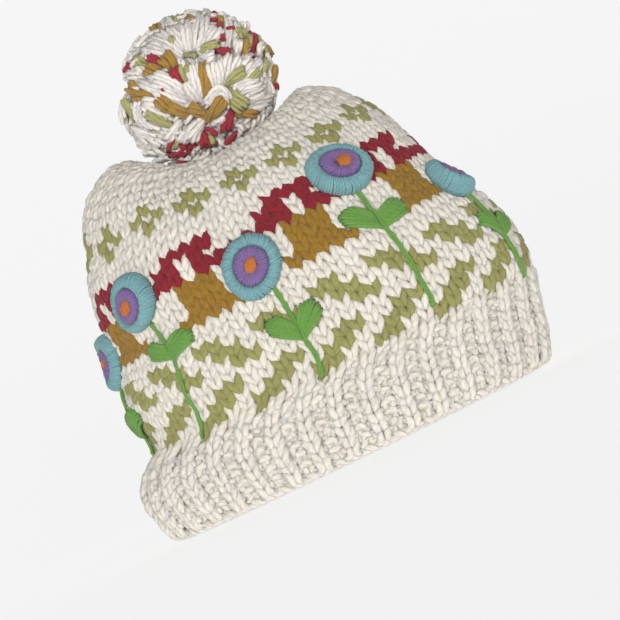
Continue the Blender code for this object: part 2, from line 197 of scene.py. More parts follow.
# Rings of thread over a pad, each thread bent through its profile of radius and lift, in millimetres. The
# middle drifts between the rim and the hole.
Ring = namedtuple("Ring", "part yarn threads thread_radius slant profile")
RINGS = [
    Ring("outer", "aqua", 70, 0.86, 0.03, [
        (15.1, 0.0), (15.5, 1.6), (15.2, 3.4), (14.4, 5.0), (13.2, 6.1), (11.9, 6.4), (10.8, 5.9),
        (10.0, 4.6), (9.7, 2.6)]),
    Ring("inner", "purple", 42, 0.80, -0.03, [
        (9.0, 3.4), (8.8, 5.2), (8.1, 6.5), (7.0, 7.1), (5.8, 7.1), (4.5, 6.5), (3.3, 5.7), (2.6, 4.6)]),
]
RING_RIM = 15.3
RING_HOLE = 9.7
LOBES = Sizes(count=3, depth=0.02)
THREAD_UNEVEN = Sizes(angle=0.012, reach=0.010, lift=0.14, radius=0.06)
PAD = Sizes(points=48, inset=0.2, taper=100, depth=0.6, bed=0.6)
# The eye: satin stitches so far from its middle, their reach, and how they arch over its pad
EYE = Sizes(stitches=[-2.1, -1.05, 0.0, 1.05, 2.1], reach=3.5, edge=3.1, slant=0.25, lift=7.6, crown=0.25,
            dip=3.6, uneven=0.1, radius=0.8)
# The stem: two strands that sway and rise as they twist, in millimetres
STEM = Sizes(clearance=12.0, foot=1.0, half_gap=0.5, sway=0.12, sway_rate=0.9, lift=1.0, over=0.2,
             rise=0.18, rise_rate=0.55, end_lift=-1.5, radius=0.74)
# A leaf: a fan of strands from along the stem, arched off the crown, in millimetres
LEAF = Sizes(strands=8, length=18.8, half_width=5.0, foot=-1.5, spacing=7.0, rounding=3.4, start=0.5,
             bow=0.8, lift=1.1, arch=1.4, arch_share=0.92, start_lift=0.6, end_lift=-1.2, radius=0.88,
             swell=0.25)
LEAF_UNEVEN = Sizes(width=0.2, reach=0.3, lift=0.1)

# The pompom's middle, half its size, and how low its yarn reaches, in millimetres
POMPOM_CENTRE = np.array([0.0, -4.6, 206.4])
POMPOM_SIZE = np.array([42.0, 42.0, 38.0])
POMPOM_FOOT = 168.6
# The yarn's cut ends: their radius in millimetres and its spread, and how they taper
ENDS = Sizes(radius=1.28, radii=(0.87, 1.13), points=10, taper=0.55, sharpness=16)
# A charted lock, as shares of the pompom's size. The drop lowers what faces the side, except at the foot.
LOCK = Sizes(root=0.80, pitch=0.052, layer=0.032, drop=0.10, drop_from=-0.9, drop_full=-0.5, squeeze=0.4,
             width=0.85, flare=0.4, sway=0.012, uneven=0.006, cut=(-0.08, 0.06))
# The tufts between the locks, their colours, and how their strands bend
TUFTS = 210
TUFT_COLOURS = {"cream": 0.76, "mustard": 0.09, "olive": 0.09, "burgundy": 0.06}
TUFT = Sizes(strands=6, root=0.80, depth=0.45, width=0.07, flare=0.13, back=0.22, bow=1.4, climb=1.8,
             bend=(0.35, 0.80), reach=0.85, rise=0.14, cut=(-0.03, 0.02), side=0.62, fade=0.3,
             dyed_slope=0.75)
TUFT_UNEVEN = Sizes(head=0.05, lean=0.12, bend=0.08, across=0.2, curl=0.12, strand_curl=0.05, root=0.025,
                    end=0.02)
CORE = Sizes(share=0.72, rings=17, round=32, cap=0.02)
# The directions from the pompom's middle that the yarn ends lean away from
PARTINGS = [(-1.0, 0.05, -0.28), (1.0, 0.10, -0.25), (0.0, -0.85, 0.5), (-0.1, 0.8, 0.45)]

# Locks of yarn, charted one by one: how many strands wide, then the root, middle and cut end, each to the
# front and up, in hundredths of the pompom's size
LOCKS = {
    "burgundy": [
        (1, 33, 62, 37, 67, 41, 74), (2, 37, 33, 45, 30, 52, 20), (1, 63, 68, 61, 75, 57, 80),
        (1, 49, 55, 54, 58, 60, 61), (1, 52, 37, 54, 42, 55, 47), (2, 78, 8, 84, 20, 90, 31),
        (2, -16, 0, -18, 17, -17, 34), (2, -22, 40, -29, 53, -36, 64), (2, -58, 54, -62, 60, -66, 67),
        (1, -35, 4, -38, 10, -41, 16), (1, 74, -45, 83, -44, 91, -44), (1, -41, -39, -53, -49, -65, -60),
        (3, -25, -66, -44, -71, -62, -72), (2, -28, -75, -48, -81, -64, -84),
        (1, -37, -56, -42, -63, -46, -68), (2, -17, -55, -19, -67, -21, -81),
        (1, -12, -52, -7, -62, -3, -73), (2, 28, -43, 19, -57, 8, -73), (2, 24, -73, 15, -83, 2, -91),
    ],
    "mustard": [
        (2, 19, 57, 30, 73, 26, 91), (3, -11, 81, -14, 91, -14, 100), (1, 56, 56, 60, 62, 63, 71),
        (2, 66, 8, 72, 17, 78, 25), (2, 86, 1, 93, 4, 100, 7), (2, 2, -19, 11, 2, 18, 24),
        (3, -13, 27, -14, 41, -19, 55), (3, -30, 34, -38, 41, -45, 50), (3, -55, 13, -66, 28, -73, 42),
        (2, -40, 2, -56, 15, -73, 24), (3, -35, -22, -41, -8, -49, 8), (2, -19, -30, -30, -21, -40, -9),
        (2, 79, -41, 90, -31, 99, -20), (3, -6, -47, 10, -38, 23, -30), (2, 0, -40, -11, -30, -19, -21),
        (2, 23, -54, 38, -60, 53, -70),
    ],
    "olive": [
        (2, 15, 37, 31, 41, 45, 39), (1, 4, 49, 9, 42, 15, 36), (1, -2, 55, -2, 65, -1, 74),
        (2, 13, 78, 13, 90, 20, 97), (2, 71, 27, 75, 34, 81, 41), (1, 11, -13, 19, 4, 24, 22),
        (2, -9, 3, -6, 18, -3, 33), (2, -38, 52, -46, 61, -54, 69), (2, -43, -35, -57, -20, -67, -4),
        (3, -83, -5, -86, 10, -84, 26), (2, 29, -14, 44, -10, 62, -8), (3, 30, -17, 35, -35, 43, -54),
        (2, 46, -17, 63, -19, 77, -14), (2, 70, -27, 80, -19, 90, -10), (2, 32, -68, 45, -75, 61, -79),
        (1, -36, -44, -47, -53, -55, -63), (1, -11, -63, -11, -73, -12, -85),
    ],
    "cream": [
        (3, 7, 49, 4, 66, -2, 90), (3, 11, 46, 16, 65, 20, 84), (3, 18, 43, 30, 58, 45, 85),
        (3, 20, 39, 39, 50, 53, 60), (1, 14, 33, 24, 31, 35, 32), (3, 4, 46, -7, 65, -23, 86),
        (3, -2, 46, -16, 61, -34, 79), (3, 5, 74, 1, 91, 3, 102), (3, -27, 82, -37, 87, -47, 86),
        (2, -41, 74, -50, 76, -58, 77), (2, 47, 66, 50, 77, 52, 89), (2, 52, 28, 63, 46, 70, 69),
        (2, 60, 27, 72, 41, 78, 56), (2, 79, 2, 87, 9, 96, 16), (2, 59, 12, 65, 21, 72, 29),
        (2, 17, -13, 22, 2, 28, 21), (2, 20, -15, 31, 0, 37, 21), (2, 23, -14, 39, 2, 52, 17),
        (2, 28, -13, 49, -1, 65, 12), (2, 32, -12, 56, -7, 75, 3), (2, 36, -15, 62, -14, 83, -4),
        (2, 83, -13, 91, -8, 96, -2), (2, -3, -19, 1, 3, 6, 28), (2, -7, -18, -8, -2, -10, 10),
        (1, -10, 13, -6, 27, -2, 41), (2, 16, 26, 25, 27, 35, 25), (2, -45, 41, -51, 48, -57, 56),
        (3, -10, -11, -25, 15, -43, 38), (3, -13, -12, -32, 10, -55, 37), (2, -19, -14, -33, 1, -48, 21),
        (2, -48, 33, -57, 44, -69, 54), (2, -34, -15, -49, 1, -67, 13), (2, -56, -40, -80, -12, -70, 17),
        (2, -43, -26, -56, -9, -68, 7), (3, 36, -24, 53, -30, 72, -31), (3, 38, -32, 54, -43, 72, -45),
        (3, 39, -45, 57, -54, 78, -58), (2, 32, -49, 49, -60, 70, -65), (1, -5, -24, 23, -14, 27, -40),
        (1, -2, -30, 18, -22, 23, -29), (2, -10, -44, -22, -52, -35, -65),
        (2, -16, -41, -31, -48, -44, -60), (2, -34, -31, -47, -39, -60, -50), (1, -5, -53, 4, -54, 13, -52),
        (1, -6, -73, -2, -81, -1, -92), (2, 24, -62, 29, -74, 30, -85), (3, -52, -44, -74, -31, -92, -15),
        (3, -59, -52, -77, -44, -95, -34), (2, -65, -60, -79, -55, -93, -50),
        (2, -70, -66, -79, -67, -87, -67), (2, -21, -83, -29, -89, -39, -93),
        (2, -3, -92, -13, -96, -22, -98),
    ],
}

rng = np.random.default_rng(11)


def vary(spread, count):
    """Departures from the rule by hand, one for each of so many strands."""
    return rng.normal(0, spread, (count, 1))


def unit(vectors):
    """Vectors scaled to length one."""
    return vectors / np.maximum(np.linalg.norm(vectors, axis=-1, keepdims=True), 1e-12)


def through(at, values, where):
    """A smooth curve through values that doesn't overshoot them."""
    step = np.diff(at)
    slope = np.diff(values) / step
    turns_back = slope[:-1] * slope[1:] <= 0
    total = np.where(turns_back, 1.0, slope[:-1] + slope[1:])
    middle = np.where(turns_back, 0.0, 2 * slope[:-1] * slope[1:] / total)
    tangent = np.concatenate([slope[:1], middle, slope[-1:]])
    i = np.clip(np.searchsorted(at, where) - 1, 0, len(at) - 2)
    s = (where - at[i]) / step[i]
    low = (1 + 2 * s) * (1 - s) ** 2 * values[i] + s * (1 - s) ** 2 * step[i] * tangent[i]
    high = s * s * (3 - 2 * s) * values[i + 1] + s * s * (s - 1) * step[i] * tangent[i + 1]
    return low + high


class Fabric:
    """The hat's outer face, by share of a turn round it and by length up its side."""

    ROWS = 420
    TURNS = 720

    def __init__(self, shift):
        table = np.array(SECTIONS)
        steps = np.hypot(np.diff(table[:, 0]), np.diff(table[:, 5]))
        self.section_at = np.concatenate([[0.0], np.cumsum(steps)])
        self.heights = table[:, 0]
        self.top = self.section_at[-1]
        self.row_at = np.linspace(0.0, self.top, self.ROWS)
        self.shift = np.array(shift)
        columns = [through(self.section_at, table[:, i], self.row_at)[:, None] for i in range(6)]
        side_z, front_z, back_z, front, back, half_width = columns
        angle = np.linspace(0.0, TURN, 1441)[None, :]
        power = 2.0 / OUTLINE_POWER
        across, along = np.sin(angle), np.cos(angle)
        x = -half_width * np.sign(across) * np.abs(across) ** power
        y = (back - front) / 2 - (back + front) / 2 * np.sign(along) * np.abs(along) ** power
        z = side_z + (np.where(along > 0, front_z, back_z) - side_z) * along ** 2
        fine = np.stack([x, y, z], axis=-1)
        gaps = np.linalg.norm(np.diff(fine, axis=1), axis=-1)
        share = np.concatenate([np.zeros((self.ROWS, 1)), np.cumsum(gaps, axis=1)], axis=1)
        self.round = share[:, -1]
        share = share / share[:, -1:]
        even = np.arange(self.TURNS) / self.TURNS
        self.places = np.empty((self.ROWS, self.TURNS, 3))
        for row in range(self.ROWS):
            for i in range(3):
                self.places[row, :, i] = np.interp(even, share[row], fine[row, :, i])
        up = np.gradient(self.places, axis=0)
        ahead = np.roll(self.places, -1, axis=1) - np.roll(self.places, 1, axis=1)
        self.outward = unit(np.cross(up, ahead))

    def look_up(self, grid, turn, along):
        """Values of a grid between its points."""
        column = np.mod(turn, 1.0) * self.TURNS
        row = np.clip(along / self.top, 0.0, 1.0) * (self.ROWS - 1)
        left = np.floor(column).astype(int)
        below = np.minimum(np.floor(row).astype(int), self.ROWS - 2)
        across = (column - left)[..., None]
        up = (row - below)[..., None]
        left = left % self.TURNS
        right = (left + 1) % self.TURNS
        low = grid[below, left] * (1 - across) + grid[below, right] * across
        high = grid[below + 1, left] * (1 - across) + grid[below + 1, right] * across
        return low * (1 - up) + high * up

    def point(self, turn, along, lift=0.0):
        """Places in the row frame, in metres, and the outward directions there."""
        turn, along = np.broadcast_arrays(turn, along)
        out = unit(self.look_up(self.outward, turn, along))
        place = self.look_up(self.places, turn, along)
        lifted = place + out * np.broadcast_to(lift, turn.shape)[..., None]
        return (lifted + self.shift) * MM, out

    def length_round(self, along):
        """How long the fabric is round the hat at a length up it, in millimetres."""
        return np.interp(along, self.row_at, self.round)

    def at_height(self, side_z):
        """The length up the side at a height on it, below the crest."""
        return np.interp(side_z, self.heights[: CREST + 1], self.section_at[: CREST + 1])


tie_low, tie_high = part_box("pompom_tie")
SHIFT = ((tie_low[0] + tie_high[0]) / 2 / MM, (tie_low[1] + tie_high[1]) / 2 / MM + TIE_FORWARD, 0.0)
hat = Fabric(SHIFT)


class Strands:
    """Swept strands and plain grids, gathered into one mesh."""

    def __init__(self):
        self.points = []
        self.quads = []
        self.ends = []
        self.uvs = []
        self.end_uvs = []
        self.tones = []
        self.count = 0

    def sweep(self, paths, side_on, radii, sides=LOOP_SIDES, tone=0.5, capped=True):
        """Tubes along paths of shape (strands, points, 3), with a radius at each point."""
        strands, points = paths.shape[:2]
        along = unit(np.gradient(paths, axis=1))
        across = unit(np.cross(along, side_on))
        over = np.cross(across, along)
        angle = TURN * np.arange(sides) / sides
        ring = across[:, :, None] * np.cos(angle)[:, None] + over[:, :, None] * np.sin(angle)[:, None]
        placed = paths[:, :, None] + ring * np.broadcast_to(radii, (strands, points))[..., None, None]
        index = self.count + np.arange(strands * points * sides).reshape(strands, points, sides)
        after = np.roll(index, -1, axis=2)
        quads = np.stack([index[:, :-1], index[:, 1:], after[:, 1:], after[:, :-1]], axis=-1)
        steps = np.linalg.norm(np.diff(paths, axis=1), axis=-1) / MM
        length = np.concatenate([np.zeros((strands, 1)), np.cumsum(steps, axis=1)], axis=1)
        length = length + rng.uniform(0, 40, (strands, 1))
        u = np.broadcast_to(np.arange(sides) / sides, (strands, points, sides))
        v = np.broadcast_to(length[:, :, None], (strands, points, sides))
        u_after = u + 1 / sides
        corners = [(u[:, :-1], v[:, :-1]), (u[:, 1:], v[:, 1:]), (u_after[:, 1:], v[:, 1:]),
                   (u_after[:, :-1], v[:, :-1])]
        self.uvs.append(np.stack([np.stack(c, axis=-1) for c in corners], axis=-2).reshape(-1, 2))
        self.quads.append(quads.reshape(-1, 4))
        if capped:
            self.ends.append(np.concatenate([index[:, 0], index[:, -1, ::-1]]))
            first = np.stack([u[:, 0], v[:, 0]], axis=-1)
            last = np.stack([u[:, -1, ::-1], v[:, -1]], axis=-1)
            self.end_uvs.append(np.concatenate([first, last]).reshape(-1, 2))
        self.points.append(placed.reshape(-1, 3))
        tones = np.broadcast_to(np.reshape(tone, (-1, 1, 1)), (strands, points, sides))
        self.tones.append(tones.reshape(-1))
        self.count += placed.size // 3

    def grid(self, places, wrap_columns=True, wrap_rows=False, tone=0.5):
        """A skin through a grid of places of shape (rows, columns, 3)."""
        rows, columns = places.shape[:2]
        index = self.count + np.arange(rows * columns).reshape(rows, columns)
        right = np.roll(index, -1, axis=1)
        if not wrap_columns:
            index, right = index[:, :-1], right[:, :-1]
        low, low_right = index, right
        high, high_right = np.roll(index, -1, axis=0), np.roll(right, -1, axis=0)
        last = rows if wrap_rows else rows - 1
        quads = np.stack([low, low_right, high_right, high], axis=-1)[:last]
        self.quads.append(quads.reshape(-1, 4))
        flat = places.reshape(-1, 3)
        self.points.append(flat)
        corner = quads.reshape(-1) - self.count
        self.uvs.append(np.stack([corner % columns / columns, corner // columns / rows], axis=-1))
        self.tones.append(np.full(len(flat), tone))
        self.count += len(flat)

    def build(self, name, finish):
        """One mesh object of everything gathered."""
        mesh = bpy.data.meshes.new(name)
        points = np.concatenate(self.points)
        quads = np.concatenate(self.quads)
        ends = [end for group in self.ends for end in group]
        corners = np.concatenate([quads.reshape(-1)] + ends)
        sizes = np.concatenate([np.full(len(quads), 4), [len(end) for end in ends]]).astype(int)
        starts = np.concatenate([[0], np.cumsum(sizes)[:-1]])
        mesh.vertices.add(len(points))
        mesh.vertices.foreach_set("co", points.astype(np.float32).ravel())
        mesh.loops.add(len(corners))
        mesh.loops.foreach_set("vertex_index", corners.astype(np.int32))
        mesh.polygons.add(len(sizes))
        mesh.polygons.foreach_set("loop_start", starts.astype(np.int32))
        mesh.polygons.foreach_set("loop_total", sizes.astype(np.int32))
        mesh.update(calc_edges=True)
        mesh.polygons.foreach_set("use_smooth", np.ones(len(sizes), bool))
        layer = mesh.uv_layers.new(name="yarn")
        layer.data.foreach_set("uv", np.concatenate(self.uvs + self.end_uvs).astype(np.float32).ravel())
        tone = mesh.attributes.new("tone", "FLOAT", "POINT")
        tone.data.foreach_set("value", np.concatenate(self.tones).astype(np.float32))
        mesh.materials.append(finish)
        made = bpy.data.objects.new(name, mesh)
        bpy.context.scene.collection.objects.link(made)
        return made


def linear(colour):
    """An sRGB colour of 0 to 255 as linear light."""
    share = np.array(colour) / 255
    return tuple(np.where(share <= 0.04045, share / 12.92, ((share + 0.055) / 1.055) ** 2.4))


Yarn = namedtuple("Yarn", "slot colour relief scatter sheen twist_mm", defaults=(0.15, 9.0))
FINISHES = {
    "cream": Yarn("cream_wool", (220, 213, 201), 0.8, 0.5),
    "olive": Yarn("olive_wool", (147, 144, 87), 0.8, 0.4),
    "mustard": Yarn("mustard_wool", (146, 110, 31), 0.8, 0.4),
    "burgundy": Yarn("burgundy_wool", (133, 31, 43), 0.8, 0.4, 0.10),
    # The pompom's yarn ends: the same wools in lighter colours, painted light that brightens the pompom
    "cut_cream": Yarn("cream_wool", (229, 221, 213), 0.55, 0.5),
    "cut_olive": Yarn("olive_wool", (166, 163, 108), 0.55, 0.5),
    "cut_mustard": Yarn("mustard_wool", (165, 128, 56), 0.55, 0.5),
    "cut_burgundy": Yarn("burgundy_wool", (158, 50, 61), 0.55, 0.5, 0.10),
    "aqua": Yarn("aqua_yarn", (116, 158, 163), 0.3, 0.3, 0.10, 5.0),
    "purple": Yarn("purple_yarn", (122, 98, 146), 0.3, 0.3, 0.10, 5.0),
    "orange": Yarn("orange_yarn", (184, 108, 50), 0.3, 0.3, 0.10, 5.0),
    "green": Yarn("green_yarn", (102, 146, 68), 0.3, 0.3, 0.10, 6.0),
    "core": Yarn("cream_wool", (222, 215, 203), 0.6, 0.5, 0.0),
}
PLIES = 2
# How light the yarn is from its darkest tone to its lightest: fibres, mottling and each strand's own tone,
# and painted shade that darkens the grooves between the plies
SHADE = Sizes(start=-0.60, fibre=1.8, mottle=0.5, ply=0.34, strand=0.24, darkest=0.70)
FIBRE_ROUND = 2.6
FIBRE_ALONG = 1.3


class Nodes:
    """Short ways to add shader nodes to one material."""

    def __init__(self, name):
        self.material = bpy.data.materials.new(name)
        self.material.use_nodes = True
        self.tree = self.material.node_tree
        self.shader = self.tree.nodes["Principled BSDF"]

    def add(self, kind, **settings):
        """A node with its own settings."""
        node = self.tree.nodes.new(kind)
        for key, value in settings.items():
            setattr(node, key, value)
        return node

    def feed(self, node, sources):
        """Give inputs of a node, by name or number, a value or another node's output."""
        for key, source in sources.items():
            if isinstance(source, bpy.types.NodeSocket):
                self.tree.links.new(source, node.inputs[key])
            else:
                node.inputs[key].default_value = source

    def math(self, operation, *sources):
        """The output of a sum worked out on values and outputs."""
        node = self.add("ShaderNodeMath", operation=operation)
        self.feed(node, dict(enumerate(sources)))
        return node.outputs[0]


def yarn_material(name, yarn):
    """Spun wool: plies twisted along the strand with painted shade in the grooves between them, fine
    fibres, and a tone for each strand.
    """
    made = Nodes(name)
    parts = made.add("ShaderNodeSeparateXYZ")
    made.feed(parts, {0: made.add("ShaderNodeUVMap", uv_map="yarn").outputs[0]})
    along = made.math("DIVIDE", parts.outputs[1], yarn.twist_mm)
    twist = made.math("MULTIPLY", made.math("ADD", parts.outputs[0], along), TURN)
    ply = made.math("SINE", made.math("MULTIPLY", twist, PLIES))
    ply = made.math("MULTIPLY_ADD", ply, 0.5, 0.5)
    joined = made.add("ShaderNodeCombineXYZ")
    made.feed(joined, {
        0: made.math("MULTIPLY", made.math("COSINE", twist), FIBRE_ROUND),
        1: made.math("MULTIPLY", made.math("SINE", twist), FIBRE_ROUND),
        2: made.math("MULTIPLY", along, FIBRE_ALONG),
    })
    fibre = made.add("ShaderNodeTexNoise")
    made.feed(fibre, {"Scale": 1.6, "Detail": 3.0, "Roughness": 0.6, "Vector": joined.outputs[0]})
    mottle = made.add("ShaderNodeTexNoise")
    place = made.add("ShaderNodeTexCoord").outputs["Object"]
    made.feed(mottle, {"Scale": 140.0, "Detail": 2.0, "Vector": place})
    height = made.math("MULTIPLY_ADD", ply, 0.6, made.math("MULTIPLY", fibre.outputs[0], 0.7))
    bump = made.add("ShaderNodeBump")
    made.feed(bump, {"Strength": 0.9, "Distance": yarn.relief * MM, "Height": height})
    tone = made.add("ShaderNodeAttribute", attribute_name="tone").outputs["Fac"]
    # The ply term paints shade into the grooves between the plies; fibres, mottling and tone are the wool's
    # own
    shade = SHADE.start
    for source, weight in ((fibre.outputs[0], SHADE.fibre), (mottle.outputs[0], SHADE.mottle),
                           (ply, SHADE.ply), (tone, SHADE.strand)):
        shade = made.math("MULTIPLY_ADD", source, weight, shade)
    base = linear(yarn.colour)
    mix = made.add("ShaderNodeMix", data_type="RGBA", blend_type="MIX")
    made.feed(mix, {0: shade, 6: (*(SHADE.darkest * c for c in base), 1.0), 7: (*base, 1.0)})
    made.feed(made.shader, {
        "Base Color": mix.outputs[2],
        "Normal": bump.outputs[0],
        "Roughness": 0.95,
        "Specular IOR Level": 0.12,
        "Subsurface Weight": yarn.scatter,
        "Subsurface Radius": (1.0, 0.85, 0.7),
        "Subsurface Scale": 2.0 * MM,
        "Sheen Weight": yarn.sheen,
        "Sheen Roughness": 0.6,
    })
    made.material.diffuse_color = (*base, 1.0)
    return made.material


MATERIALS = {key: yarn_material(key + "_yarn", yarn) for key, yarn in FINISHES.items()}
hat_pieces = bpy.data.collections.new("hat_pieces")


def add_piece(strands, name, key, *nodes):
    """Build a piece in one finish, attach it to the root, and hide the solids it stands for."""
    piece = strands.build(name, MATERIALS[key])
    hat_pieces.objects.link(piece)
    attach(piece, "root")
    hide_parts(*nodes)


def unevenness(turn, along):
    """How far the hand-knitted fabric's slow waves lift it, in millimetres."""
    return sum(height * np.sin(TURN * count * turn + along * up + start)
               for height, count, up, start in WAVES)


def gathers(turn, along):
    """How far the gathers draw the fabric in, in millimetres."""
    start, full = hat.section_at[[GATHERS.first_section, GATHERS.full_section]]
    fade = np.clip((along - start) / (full - start), 0.0, 1.0)
    return fade * GATHERS.depth * (np.cos(TURN * GATHERS.count * turn) - 1) / 2


def pulled(turn, along):
    """Places on the fabric, by turn and length up the side, once it is pulled out of true."""
    for middle, side_z, front, up, reach_round, reach_up in PULLS:
        length_round = hat.length_round(along)
        across = (np.mod(turn - middle + 0.5, 1.0) - 0.5) * length_round / reach_round
        high = (along - hat.at_height(side_z)) / reach_up
        share = np.exp(-across ** 2 - high ** 2)
        turn = turn - share * front / length_round
        along = along + share * up
    return turn, along


def stitch_loops(strands, turn, along, width, pitch, ribbed=0.0, face=1.0, scale=1.0, sunk=0.0):
    """Loops of yarn, one for each stitch: the place of its middle, its size, and the side it shows."""
    n = len(turn)
    theta = np.linspace(-LOOP.overrun, 1 + LOOP.overrun, LOOP_POINTS) * TURN
    wide = hat.length_round(along) * width
    waist = (RIB.waist if ribbed else LOOP.waist) + vary(UNEVEN.waist, n)
    lean = vary(UNEVEN.lean, n)
    x = theta / TURN - 0.5 + waist * np.sin(2 * theta) + vary(UNEVEN.across, n)
    x = x - lean * np.cos(theta)
    face = np.reshape(face, (-1, 1))
    rise = np.where(face < 0, RIB.purl_rise, LOOP.rise)
    y = -np.cos(theta) * (rise + vary(UNEVEN.rise, n)) + vary(UNEVEN.up, n)
    y = y + vary(UNEVEN.slant, n) * np.sin(theta)
    legs = -np.cos(2 * theta)
    turning = np.minimum(theta, TURN - theta)
    eased = np.where(turning < TURN / 4, np.sin(np.maximum(turning, 0.0)), legs)
    z = np.where(ribbed > 0, eased, legs) * LOOP.depth * face
    there_turn, there_along = pulled(turn[:, None] + x * width, along[:, None] + y * pitch)
    lift = FABRIC_MIDDLE + z + face * ribbed * RIB.relief
    lift = lift + unevenness(there_turn, there_along) + gathers(there_turn, there_along)
    lift = lift + vary(UNEVEN.lift, n) - sunk
    lift = lift + vary(UNEVEN.tilt, n) * np.sin(theta) * np.sign(np.pi - theta)
    paths, out = hat.point(there_turn, there_along, lift)
    size = np.minimum(YARN_RADIUS, LOOP.yarn * wide)[:, None] * (1 + vary(UNEVEN.radius, n)) * scale
    swell = 1 + vary(UNEVEN.swell, n) * np.sin(3 * theta + rng.uniform(0, 6, (n, 1)))
    radii = size * swell * (1 - LOOP.pinch * (1 + np.cos(2 * theta)) / 2) * MM
    strands.sweep(paths, out, radii, tone=rng.uniform(0, 1, n))


def lifted_rows(row, turn):
    """How far a row of the chart rides up, in millimetres."""
    turn = np.mod(turn + 0.5, 1.0) - 0.5
    rising = np.clip((LIFTED.start - turn) / (LIFTED.start - LIFTED.full), 0.0, 1.0)
    falling = np.clip((turn - LIFTED.end) / (LIFTED.full - LIFTED.end) * 2, 0.0, 1.0)
    share = np.minimum(rising, falling)
    return np.interp(row, ROW_LIFT_AT, ROW_LIFTS) * share * share * (3 - 2 * share)


def chart_turns(per_repeat):
    """Where round the hat the middles of a row's stitches are, repeat by repeat."""
    repeat, stitch = np.meshgrid(np.arange(REPEATS), np.arange(per_repeat), indexing="ij")
    return (CHART_START - (repeat + (stitch + 0.5) / per_repeat) / REPEATS).ravel()


def knit_brim():
    """The ribbed brim: rows of alternate knit and purl stitches above a twisted cast-on edge."""
    strands = Strands()
    turn = chart_turns(REPEAT)
    face = np.where(np.arange(COLUMNS) % 2 == 1, 1.0, -RIB.purl_depth)
    for row in range(RIB_ROWS):
        along = np.full(COLUMNS, hat.at_height(RIB_TOP - row * RIB_PITCH))
        stitch_loops(strands, turn, along, 1 / COLUMNS, RIB_PITCH, ribbed=1.0, face=face)
    turn = np.linspace(0, 1, COLUMNS * CAST_ON.points)
    for phase in (0.0, math.pi):
        wind = TURN * turn * COLUMNS * CAST_ON.twists + phase
        lift = CAST_ON.lift + CAST_ON.reach_out * np.cos(wind)
        paths, out = hat.point(turn, CAST_ON.along + CAST_ON.reach_up * np.sin(wind), lift)
        strands.sweep(paths[None], out[None], CAST_ON.radius * MM, capped=False)
    add_piece(strands, "brim_stitches", "cream", "brim")


def knit_crown():
    """The patterned crown and the plain rows above it, which lose stitches towards the top."""
    gathered = {key: Strands() for key in YARNS.values()}
    gathered["cream_top"] = Strands()
    start = hat.at_height(FIRST_ROW_Z)
    pitch = (hat.at_height(UPPER_ROW_Z) - start) / UPPER_ROW
    turn = chart_turns(REPEAT)
    for row, letters in enumerate(CHART):
        along = start + row * pitch + lifted_rows(row, turn)
        for letter, key in YARNS.items():
            chosen = np.array([found == letter for found in letters * REPEATS])
            if chosen.any():
                hidden = letter == SUNK
                scale = LOW_STITCH.size if hidden else 1.0 if key == "cream" else COLOURED_SIZE
                stitch_loops(gathered[key], turn[chosen], along[chosen], 1 / COLUMNS, pitch,
                             scale=scale, sunk=LOW_STITCH.depth if hidden else 0.0)
    last = start + (len(CHART) - 1) * pitch
    rows_left = round((hat.top - last) / pitch)
    pitch = (hat.top - last) / (rows_left + TOP_MARGIN)
    per_repeat = REPEAT
    for row in range(1, rows_left + 1):
        along = last + row * pitch
        fitting = hat.length_round(along) / REPEATS / NARROWEST_STITCH
        per_repeat = max(1, min(per_repeat, round(fitting)))
        turn = chart_turns(per_repeat)
        stitch_loops(gathered["cream_top"], turn, np.full(len(turn), along), 1 / len(turn), pitch)
    for key, strands in gathered.items():
        add_piece(strands, f"crown_{key}_stitches", key.split("_")[0], "crown")


def line_hat():
    """The back of the fabric: the carried yarns that close the gaps between stitches."""
    strands = Strands()
    turn = np.arange(BACKING.columns) / BACKING.columns
    rows = np.linspace(BACKING.foot, hat.top - BACKING.top, BACKING.rows)
    outer, inner = ([hat.point(turn, np.full_like(turn, row), lift)[0] for row in rows]
                    for lift in (BACKING.outer, BACKING.inner))
    strands.grid(np.array(outer + inner[::-1])[:, ::-1], wrap_rows=True)
    add_piece(strands, "fabric_back", "core", "crown", "brim")


def flower_place(flower, trim, forward, up, lift):
    """Places round a flower's middle, in its own millimetres to the front of, above and off the crown."""
    forward, up = np.asarray(forward), np.asarray(up)
    tip = 1 + (flower.front_lift * forward - flower.lower_lift * up) / FLOWER_EDGE
    across = (forward * trim.wide + up * trim.slant / 2) * flower.size + trim.nudge_front
    high = (up * trim.tall + forward * trim.slant / 2) * flower.size + trim.nudge_up
    along = hat.at_height(flower.head_z)
    return hat.point(flower.head_turn - across / hat.length_round(along), along + high, lift * tip)


